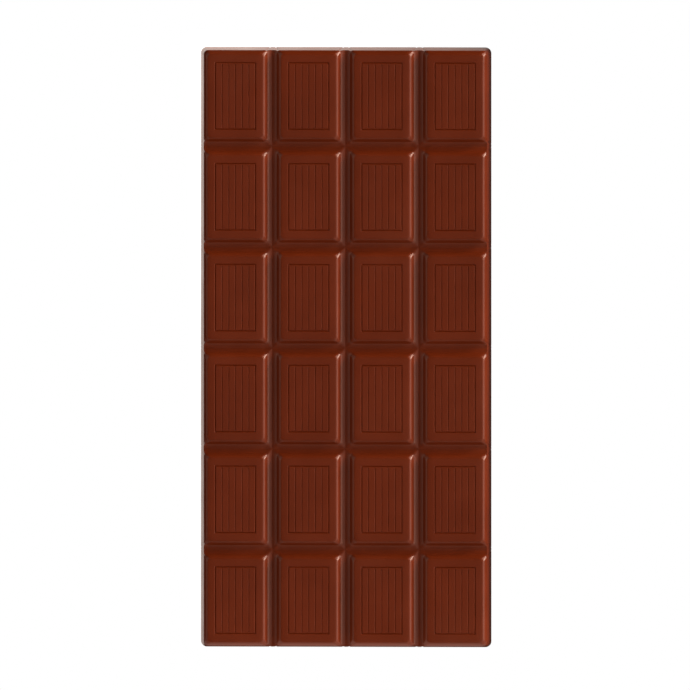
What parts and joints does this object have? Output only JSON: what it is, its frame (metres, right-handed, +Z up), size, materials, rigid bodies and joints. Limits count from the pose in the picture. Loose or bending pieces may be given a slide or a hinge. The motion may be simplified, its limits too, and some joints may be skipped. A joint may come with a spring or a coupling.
{
  "type": "chocolate bar",
  "caption": "Flat moulded chocolate bar scored into oblong blocks, each engraved with a thin frame and upright lines.",
  "frame": {"origin": "middle of the flat poured back that the bar lies on", "axes": "+X across the bar, +Y along its length, +Z up through the blocks"},
  "size_m": [0.0776, 0.1602, 0.007],
  "materials": {
    "milk_chocolate": "tempered chocolate released from a polished mould, satin sheen, pale gleams along the rounded block edges"
  },
  "bodies": {
    "root": {"chocolate_bar": "milk_chocolate"}
  },
  "joints": []
}
